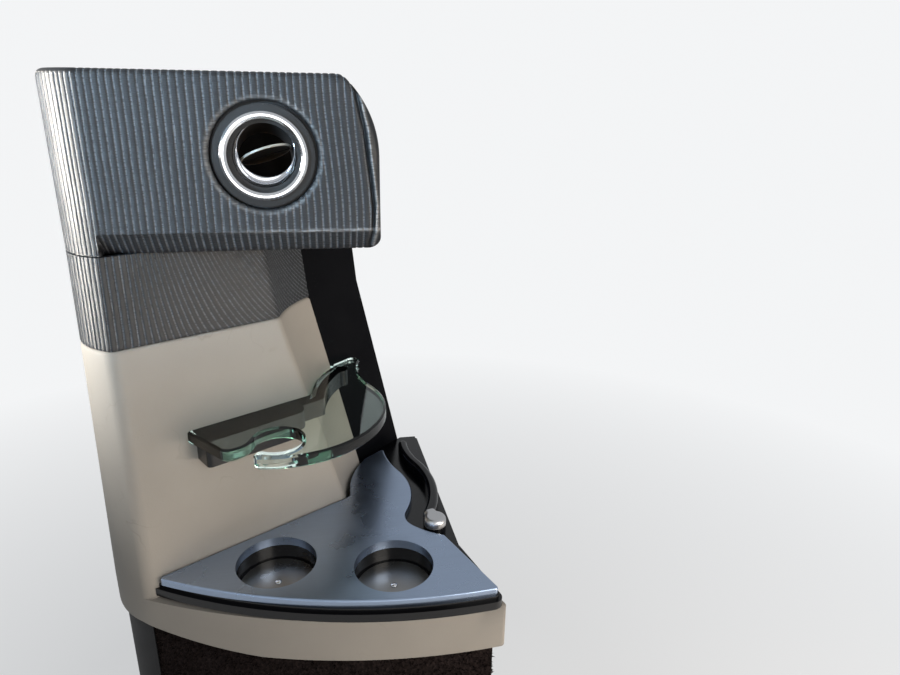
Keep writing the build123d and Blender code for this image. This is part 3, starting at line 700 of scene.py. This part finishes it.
def headCover():
    h = headSkin
    bm = joinedCopy("head_box")
    tree = BVHTree.FromBMesh(bm)
    middleX, middleZ = h["ventMiddle"]
    hole = place(middleX, 0, middleZ)
    for f in bm.faces:
        middle = f.calc_center_median()
        blocked = tree.ray_cast(middle + f.normal * 1e-4, f.normal)[0] is not None
        near = math.hypot(middle.x - hole[0], middle.z - hole[2]) < h["lipEnd"] * 0.001
        f.material_index = int(blocked and not (near and middle.y < hole[1] + h["lipBack"] * 0.001))
    bmesh.ops.dissolve_limit(bm, angle_limit=math.radians(0.4), verts=bm.verts, edges=bm.edges,
                             delimit={"MATERIAL"})

    def cut(test, planes):  # cuts the outer faces that pass a test, by planes of a place and a direction
        faces = [f for f in bm.faces if f.material_index == 0 and test(f.calc_center_median(), f.normal)]
        edges = {e for f in faces for e in f.edges}
        geometry = faces + list(edges) + list({v for e in edges for v in e.verts})
        for spot, normal in planes:
            geometry = bmesh.ops.bisect_plane(bm, geom=geometry, dist=1e-6, plane_co=Vector(place(*spot)),
                                              plane_no=Vector(normal))["geom"]

    line, lengths, distances, step = columnLine()
    frontStart = place(line[-1][0], 0, 0)[0]
    # upright cuts for the ribs, over everything that faces front, up or down
    cut(lambda c, n: c.x > frontStart or abs(n.z) > 0.7,
        [((s, 0, 0), (1, 0, 0)) for s in np.arange(line[-1][0], h["boxRight"], h["ribStep"])])
    # cuts round the column, square to its outline
    cut(lambda c, n: abs(n.z) <= 0.7 and c.x <= frontStart + 1e-4 and n.y < 0.3,
        [[(*(np.interp(d, lengths, values[:, k]) for k in (0, 1)), 0) for values in (line, step)]
         for d in np.arange(h["sideStep"], lengths[-1], h["sideStep"])])
    # level cuts, finer at the crease
    rows = [*np.arange(h["boxUnder"] + 4, h["boxTop"], h["rowStep"]),
            *(h["creaseRise"] + k for k in h["creaseRows"])]
    cut(lambda c, n: abs(n.z) <= 0.95, [((0, 0, rise), (0, 0, 1)) for rise in rows])
    cut(lambda c, n: abs(n.z) > 0.7,
        [((0, t, 0), (0, 1, 0)) for t in np.arange(0, h["boxBack"], h["topStep"])])
    # finer cuts round the air outlet
    rows = np.arange(middleZ - h["ventRows"], middleZ + h["ventRows"], h["ventStep"])
    cut(lambda c, n: n.y < -0.9 and math.hypot(c.x - hole[0], c.z - hole[2]) < h["nearVent"] * 0.001,
        [((0, 0, rise), (0, 0, 1)) for rise in rows])
    bmesh.ops.triangulate(bm, faces=[f for f in bm.faces if len(f.verts) > 4])
    bm.normal_update()
    points = (np.array([v.co[:] for v in bm.verts]) - trayTip) * 1000
    normals = np.array([v.normal[:] for v in bm.verts])
    outside = np.array([any(f.material_index == 0 for f in v.link_faces) for v in bm.verts])
    phase, amount, skin = headRibs(points, normals, outside, line, lengths, distances, step)
    points, paintedGlint = headShape(points, normals, outside, line, step)
    for v, p in zip(bm.verts, points):
        v.co = place(*p)
    inside = np.array([f.material_index == 1 for f in bm.faces])
    mesh = meshFrom(bm, "headCover")
    setSkin(mesh, phase, amount, skin)
    setAttribute(mesh, "paintedGlint", "FLOAT", "POINT", paintedGlint)
    setAttribute(mesh, "inside", "BOOLEAN", "FACE", inside)
    return mesh


def seamOffset(points):  # millimetres to the right of the seam
    line = np.array(headSkin["seam"])
    return points[:, 0] - np.interp(points[:, 2], line[::-1, 1], line[::-1, 0])


def alongLine(points, line, step):  # each point's nearest place on the line, and how far it lies ahead of it
    nearest = np.linalg.norm(points[:, None, :2] - line[None], axis=2).argmin(1)
    return nearest, ((points[:, :2] - line[nearest]) * step[nearest]).sum(1)


def headRibs(points, normals, outside, line, lengths, distances, step):
    h = headSkin
    s, t, rise = points.T
    up = smooth((rise - h["leanRise"] + 30) / 110) * smooth((s - h["leanStart"]) / 70)
    phase = ribPlace(s - post["edge"][4][0] + h["lean"] * up, "front")
    skin = normals.copy()
    # round the column the place is counted along its outline, as on the post below it
    flat = np.abs(normals[:, 2]) < 0.75
    side = np.nonzero(flat & (s < line[-1][0]) & (normals[:, 1] < 0.3))[0]
    nearest, ahead = alongLine(points[side], line, step)
    phase[side] = ribPlace(np.interp(lengths[nearest] + ahead, lengths, distances), "front")
    below = rise[side] < h["creaseRise"]
    skin[side[below], :2] = step[nearest[below]] @ np.array(((0.0, -1.0), (1.0, 0.0)))
    skin[side[below], 2] = 0
    amount = np.where(outside & (normals[:, 1] < 0.3) & (normals[:, 0] < 0.8), 1.0, 0.0)
    amount *= 1 - smooth((seamOffset(points) + 2.5) / 1.5)
    topping = (s < line[-1][0]) & (rise > h["creaseRise"])
    amount *= np.where(topping, 1 - smooth((np.abs(normals[:, 2]) - 0.3) / 0.3), 1.0)
    reach = np.hypot(s - h["ventMiddle"][0], rise - h["ventMiddle"][1])
    amount *= np.where(t < h["frontDepth"], smooth((reach - h["ventHole"]) / h["lipReach"]), 1.0)
    return phase, amount, skin


def headShape(points, normals, outside, line, step):
    h = headSkin
    s, t, rise = points.T
    made = points.copy()
    front = outside & (t < h["frontDepth"]) & (normals[:, 1] < -0.2)
    # the leather turns into the outlet's hole in small pleats
    across, above = s - h["ventMiddle"][0], rise - h["ventMiddle"][1]
    lip = np.clip(1 - (np.hypot(across, above) - h["ventHole"]) / h["lipReach"], 0, 1) * (t < 1)
    pleat = h["pleatDepth"] * np.sin(h["pleats"] * np.arctan2(above, across)) * lip * (1 - lip) * 4
    made[:, 1] += lip ** 2 * h["lipDepth"] + pleat
    # a narrow ridge runs along the top of the bevel
    ridge = np.exp(-((rise - h["creaseRise"]) / h["creaseSoft"]) ** 2) * smooth((s + 2) / 25)
    made[:, 1] -= np.where(front, ridge * h["creaseTall"], 0)
    # a seam at the right end, with a piped edge beside it
    beside = seamOffset(points)
    groove = h["seamDeep"] * np.exp(-(beside / h["seamWide"]) ** 2)
    pipe = np.exp(-((beside - h["pipeAway"]) / h["pipeWide"]) ** 2)
    made[:, 1] += np.where(front, groove - pipe * h["pipeTall"], 0)
    # the column's foot comes down square on the post, with no gap between
    foot = outside & (rise < h["boxUnder"] + h["footTall"]) & (normals[:, 2] > -0.97) & (normals[:, 1] < 0.75)
    foot = np.nonzero(foot & (s < line[-1][0]) & (np.hypot(normals[:, 0], normals[:, 1]) > 0.2))[0]
    nearest, ahead = alongLine(points[foot], line, step)
    square = line[nearest] + step[nearest] * ahead[:, None]
    short = np.linalg.norm(square - points[foot, :2], axis=1) < h["footReach"]
    made[foot[short], :2] = square[short]
    # painted highlight: a pale band is painted on the piping, on the crease's ridge towards the right and
    # round the outlet's lip, where light catches them
    edge = np.exp(-((rise - h["creaseRise"]) / 1.2) ** 2) * smooth((s - h["creaseGlintStart"]) / h["creaseGlintReach"]) * 0.9
    paintedGlint = np.where(front, pipe * (beside > 0) * 0.8 + edge, 0)
    paintedGlint += (lip > 0) * np.sin(math.pi * lip) ** 4 * 0.35
    return made, paintedGlint


fasciaSkin = {"lowEnd": -43.0, "round": 3.5, "steps": 4}


def fasciaCover():  # the CAD's band with its lower edges rolled
    bm = joinedCopy("fascia")
    bmesh.ops.dissolve_limit(bm, angle_limit=math.radians(1.0), verts=bm.verts, edges=bm.edges)
    limit = place(0, 0, fasciaSkin["lowEnd"])[2]
    edges = [e for e in bm.edges if all(v.co.z < limit for v in e.verts) and len(e.link_faces) == 2
             and e.calc_face_angle() > math.radians(30)]
    bmesh.ops.bevel(bm, geom=edges, offset=fasciaSkin["round"] * 0.001, segments=fasciaSkin["steps"],
                    profile=0.5, affect="EDGES", clamp_overlap=True)
    bmesh.ops.triangulate(bm, faces=bm.faces)
    return meshFrom(bm, "fasciaCover")


ribs = ribTree()


def dressRibbed(mesh, replaced, *finishes):
    for finish in finishes:
        mesh.materials.append(finish)
    piece = newPiece(mesh.name, mesh, "console", "ribbed_leather", replaced)
    grow(piece, ribs, {**ribSizes, "Leather": ribbed})
    sharpen(piece.data)
    print(piece.name, len(piece.data.polygons), "faces")


def dressLeather():
    skin, rises = postSkin, post["rises"]
    dressRibbed(headCover(), "head_box", ribbed, board)
    upper = postCover("postUpper", rises[2], rises[3], skin["upperRows"], skin["upperCounts"],
                      skin["blackEdge"], skin["seamRound"], 0.0)
    dressRibbed(upper, "wall_upper", ribbed)
    lower = postCover("postLower", rises[0], rises[2], skin["lowerRows"], skin["lowerCounts"],
                      post["edgeRound"], 0.0, skin["rollRound"])
    for mesh, replaced in ((lower, "wall_lower"), (fasciaCover(), "fascia")):
        mesh.materials.append(grey)
        sharpen(mesh)
        newPiece(mesh.name, mesh, "console", "grey_leather", replaced)


dressLeather()
print("leather covers made")

backCloth = {
    "left": 60.0, "right": 203.0, "low": 302.0, "high": 408.0, "back": 212.0, "gap": 0.3, "thick": 0.4,
    "sag": 1.2, "ripple": 0.25, "rippleAcross": 0.21, "rippleUp": 0.08, "wide": 30, "tall": 24,
    "stapleEvery": 14.0, "stapleSide": 6.0, "stapleEnd": 4.0, "stapleOut": 0.6,
}


def dustCloth():  # black cloth over the open back of the vent box, below the bolted angle
    c = backCloth
    wide, tall = c["wide"], c["tall"]
    s, rise = np.meshgrid(np.linspace(c["left"], c["right"], wide), np.linspace(c["low"], c["high"], tall))
    pull = np.sin(np.pi * (s - c["left"]) / (c["right"] - c["left"]))
    pull *= np.sin(np.pi * (rise - c["low"]) / (c["high"] - c["low"]))
    depth = (c["sag"] + c["ripple"] * np.sin(s * c["rippleAcross"] + rise * c["rippleUp"])) * pull
    points = [trayTip + np.stack((s, c["back"] + c["gap"] + thick - depth, rise), -1).reshape(-1, 3) * 0.001
              for thick in (0.0, c["thick"])]
    at = np.arange(wide * tall).reshape(tall, wide)
    count = at.size
    faces = []
    for a in at[:-1, :-1].ravel().tolist():
        faces.append((a, a + 1, a + wide + 1, a + wide))
        faces.append((count + a, count + a + wide, count + a + wide + 1, count + a + 1))
    rim = [int(i) for i in (*at[0], *at[1:, -1], *at[-1, -2::-1], *at[-2:0:-1, 0])]
    for a, b in zip(rim, rim[1:] + rim[:1]):
        faces.append((b, a, count + a, count + b))
    return newMesh("dustCloth", np.concatenate(points), faces, clothBlack)


def dressBack():
    mesh = dustCloth()
    sharpen(mesh)
    piece = newPiece("dustCloth", mesh, "console", "carpet")


dressBack()
print("back cloth made")

pile = {"tufts": 36000, "seed": 7, "lowest": 0.0045}
tuftSizes = {"Length": 0.0034, "Width": 0.0007, "Lean": 0.55, "Seed": 5}
stapleSizes = {"Length": 0.009, "Width": 0.0009, "Lean": 0.0, "Seed": 2}
screw = {"spots": ((103.3, 4.4), (212.2, -19.2)), "rise": -24.0, "around": 24,
         "profile": ((3.3, -0.2), (3.3, 0.5), (2.6, 1.1), (1.4, 1.3), (1.3, 0.4))}


def scatterTree(name, shape):
    # sets one small closed shape on every point, along the stored "out", and makes them one mesh
    tree, start, end = newGroup(
        name, "GeometryNodeTree",
        (("Geometry", "Geometry", None), ("Length", "Float", 0.003), ("Width", "Float", 0.001),
         ("Lean", "Float", 0.5), ("Seed", "Int", 1), ("Finish", "Material", None)),
        (("Geometry", "Geometry"),))
    wide, tall = start["Width"], start["Length"]
    if shape == "cone":
        unit = addNode(tree, "GeometryNodeMeshCone", {"Vertices": 3, "Radius Top": 0.0, "Radius Bottom": wide,
                                                      "Depth": tall})
    else:
        size = addNode(tree, "ShaderNodeCombineXYZ", {0: wide, 1: wide, 2: tall})
        unit = addNode(tree, "GeometryNodeMeshCube", {"Size": size.outputs[0]})
    low, high = (calcVector(tree, "SCALE", {0: (side,) * 3, "Scale": start["Lean"]}) for side in (-1.0, 1.0))
    stray = addNode(tree, "FunctionNodeRandomValue", {0: low, 1: high, "Seed": start["Seed"]},
                    data_type="FLOAT_VECTOR")
    aim = calcVector(tree, "ADD", {0: stored(tree, "out", "FLOAT_VECTOR"), 1: stray.outputs[0]})
    turned = addNode(tree, "FunctionNodeAlignRotationToVector", {"Vector": aim}, axis="Z")
    spots = addNode(tree, "GeometryNodeInstanceOnPoints",
                    {"Points": start["Geometry"], "Instance": unit.outputs[0], "Rotation": turned.outputs[0]})
    return closeTree(tree, end, spots.outputs[0], start["Finish"])


def scatter(name, slot, shape, sizes, finish, spots, outs):
    mesh = newMesh(name, spots, [])
    setAttribute(mesh, "out", "FLOAT_VECTOR", "POINT", outs)
    piece = newPiece(name, mesh, "console", slot)
    grow(piece, scatterTree(name + "Spread", shape), {**sizes, "Finish": finish})
    print(name, len(piece.data.polygons), "faces")


def pileSpots():  # random places on the plinth's outside that no other part covers
    points, faces = [], []
    for name in ("plinth", "kick_trim", "fascia", "floor_board"):
        mesh = nodes[name].data
        mesh.calc_loop_triangles()
        faces += [[len(points) + i for i in t.vertices] for t in mesh.loop_triangles]
        points += [v.co.copy() for v in mesh.vertices]
        if name == "plinth":
            own = len(faces)
    blocker = BVHTree.FromPolygons(points, faces)
    corners = np.array([[points[i][:] for i in face] for face in faces[:own]])
    normals = np.cross(corners[:, 1] - corners[:, 0], corners[:, 2] - corners[:, 0])
    areas = np.linalg.norm(normals, axis=1)
    normals /= np.maximum(areas, 1e-12)[:, None]
    areas *= np.abs(normals[:, 2]) < 0.3
    chance = np.random.default_rng(pile["seed"])
    # half of the wall's area is its hidden inside
    chosen = chance.choice(own, pile["tufts"] * 2, p=areas / areas.sum())
    share = np.sqrt(chance.random(len(chosen)))[:, None]
    part = chance.random(len(chosen))[:, None]
    a, b, c = corners[chosen].transpose(1, 0, 2)
    spots = a * (1 - share) + b * share * (1 - part) + c * share * part
    outs = normals[chosen]
    free = [p[2] > pile["lowest"] and blocker.ray_cast(Vector(p + n * 2e-4), Vector(n))[0] is None
            for p, n in zip(spots, outs)]
    return spots[free], outs[free]


def staplePlaces():  # along the cloth's four edges
    c = backCloth
    sides = c["left"] + c["stapleSide"], c["right"] - c["stapleSide"]
    ends = c["low"] + c["stapleEnd"], c["high"] - c["stapleEnd"]
    across, upward = (np.linspace(*pair, round((pair[1] - pair[0]) / c["stapleEvery"]) + 1)
                      for pair in (sides, ends))
    back = c["back"] + c["thick"] + c["stapleOut"]
    level = [place(s, back, rise) for rise in ends for s in across]
    upright = [place(s, back, rise) for s in sides for rise in upward[1:-1]]
    outs = np.array([(1.0, 0.0, 0.0)] * len(level) + [(0.0, 0.0, 1.0)] * len(upright))
    return np.array(level + upright), outs


def screwMesh():
    points, faces = [], []
    around = screw["around"]
    for s, t in screw["spots"]:
        first = len(points)
        for radius, up in screw["profile"]:
            points += [place(s + radius * math.cos(a), t + radius * math.sin(a), screw["rise"] + up)
                       for a in np.arange(around) * 2 * math.pi / around]
        last = len(points) - around
        for low in range(first, last, around):
            for i in range(around):
                j = (i + 1) % around
                faces.append((low + i, low + j, low + around + j, low + around + i))
        faces.append(tuple(last + i for i in range(around)))
        faces.append(tuple(first + i for i in reversed(range(around))))
    return newMesh("discScrews", points, faces, chromeMaterial)


scatter("carpetPile", "carpet", "cone", tuftSizes, carpetMaterial, *pileSpots())
scatter("clothStaples", "steel", "bar", stapleSizes, chromeMaterial, *staplePlaces())
heads = screwMesh()
sharpen(heads, 50)
newPiece("discScrews", heads, "console", "steel")
print("pile, staples and screws made")


# Floor, lamps and camera

studio = {
    "floorSize": 14.0, "floorColour": (0.80, 0.80, 0.79), "skyColour": (0.84, 0.91, 1.0), "skyLevel": 0.22,
    "backColour": (0.90, 0.91, 0.92), "fadeStart": 0.45, "fadeEnd": 1.6, "nearShare": 0.6, "glossShare": 0.4,
}


def seenRays(tree):
    # which rays meet the pale background: all of those to the eye or through glass, part of the glossy
    path = addNode(tree, "ShaderNodeLightPath").outputs
    straight = calc(tree, "MAXIMUM", path["Is Camera Ray"], path["Is Transmission Ray"])
    return calc(tree, "MAXIMUM", straight, times(tree, path["Is Glossy Ray"], studio["glossShare"]))


def floorPiece():
    finish, tree, shader, coords = material("floor", Base_Color=studio["floorColour"], Roughness=0.8)
    glow = addNode(tree, "ShaderNodeEmission", {"Color": (*studio["backColour"], 1.0)})
    # the pale background takes over away from the object, so that its shadow stays and no horizon shows
    reach = calcVector(tree, "LENGTH", {0: coords}, "Value")
    share = spread(tree, studio["fadeStart"], studio["fadeEnd"], reach, studio["nearShare"], 1.0)
    mix = addNode(tree, "ShaderNodeMixShader", {0: times(tree, seenRays(tree), share),
                                                1: shader.outputs[0], 2: glow.outputs[0]})
    feed(tree, tree.nodes["Material Output"].inputs, Surface=mix.outputs[0])
    half = studio["floorSize"] / 2
    corners = [(-half, -half, 0), (half, -half, 0), (half, half, 0), (-half, half, 0)]
    newObject("floor", newMesh("floor", corners, [(0, 1, 2, 3)], finish))


def lamp(name, at, aim, size, power, colour, cone=180.0):
    data = bpy.data.lights.new(name, "AREA")
    data.shape = "RECTANGLE"
    data.size, data.size_y = size
    data.energy = power
    data.color = colour
    data.spread = math.radians(cone)
    made = newObject(name, data)
    made.location = at
    made.rotation_mode = "QUATERNION"
    made.rotation_quaternion = (Vector(aim) - Vector(at)).to_track_quat("-Z", "Y")


def sky():
    world = bpy.data.worlds.new("studio")
    scene.world = world
    world.use_nodes = True
    tree = world.node_tree
    tree.nodes.clear()
    light = addNode(tree, "ShaderNodeBackground", {"Color": (*studio["skyColour"], 1),
                                                   "Strength": studio["skyLevel"]})
    back = addNode(tree, "ShaderNodeBackground", {"Color": (*studio["backColour"], 1), "Strength": 1.0})
    mix = addNode(tree, "ShaderNodeMixShader", {0: seenRays(tree), 1: light.outputs[0], 2: back.outputs[0]})
    end = addNode(tree, "ShaderNodeOutputWorld")
    feed(tree, end.inputs, Surface=mix.outputs[0])


floorPiece()
sky()
lamp("keyLamp", (0.95, -1.45, 1.3), (0.0, 0.0, 0.6), (1.1, 0.9), 12.5, (1.0, 0.97, 0.92))
lamp("rightLamp", (0.95, -0.68, 0.36), (-0.02, 0.0, 0.68), (0.6, 0.4), 8.0, (1.0, 0.86, 0.72))
lamp("leftLamp", (-1.0, -1.15, 1.25), (-0.15, -0.05, 1.0), (0.6, 0.6), 2.4, (0.55, 0.78, 1.0), 24.0)
lamp("sideLamp", (-1.25, -0.02, 1.0), (-0.16, -0.04, 0.92), (0.25, 0.6), 2.8, (1.0, 0.94, 0.86), 22.0)
lamp("frontLamp", (-0.15, -2.2, 0.65), (0.0, 0.0, 0.7), (0.8, 0.55), 2.4, (1.0, 0.99, 0.97))

lens = {"at": (0.0266, -0.6084, 0.8379), "right": (0.98135, -0.19075, 0.016), "up": (0.0493, 0.3326, 0.9418),
        "millimetres": 27.04}
camera = newObject("camera", bpy.data.cameras.new("camera"))
camera.data.lens = lens["millimetres"]
camera.data.sensor_width = 36.0
right, up = Vector(lens["right"]).normalized(), Vector(lens["up"]).normalized()
turned = Matrix((right, up, right.cross(up))).transposed().to_4x4()
camera.matrix_world = Matrix.Translation(lens["at"]) @ turned
scene.camera = camera
print("studio ready")
